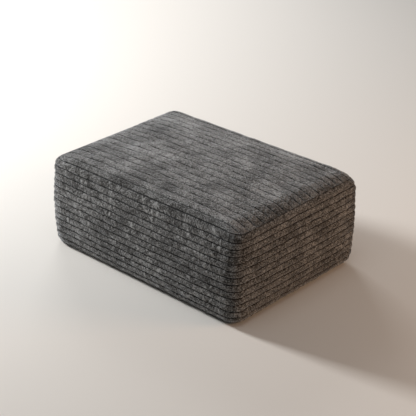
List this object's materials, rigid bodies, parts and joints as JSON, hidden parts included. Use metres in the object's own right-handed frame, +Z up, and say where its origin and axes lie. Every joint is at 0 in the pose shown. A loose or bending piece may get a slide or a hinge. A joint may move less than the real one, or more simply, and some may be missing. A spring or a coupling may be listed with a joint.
{
  "type": "upholstered ottoman",
  "caption": "Low box-shaped upholstered ottoman in charcoal wide-wale corduroy, with a softly crowned top and a ribbed side band.",
  "frame": {"origin": "bottom face's centre, on the surface that the ottoman rests on", "axes": "+X along the length, which the top's wales follow, +Y across the width, +Z up"},
  "size_m": [0.914, 0.645, 0.36],
  "materials": {
    "corduroy": "matte wide-wale pile, charcoal, mottled by the lie of the nap",
    "base_cloth": "matte plain woven cloth, near black"
  },
  "bodies": {
    "root": {"top_panel": "corduroy", "side_band": "corduroy", "base_panel": "base_cloth"}
  },
  "joints": []
}
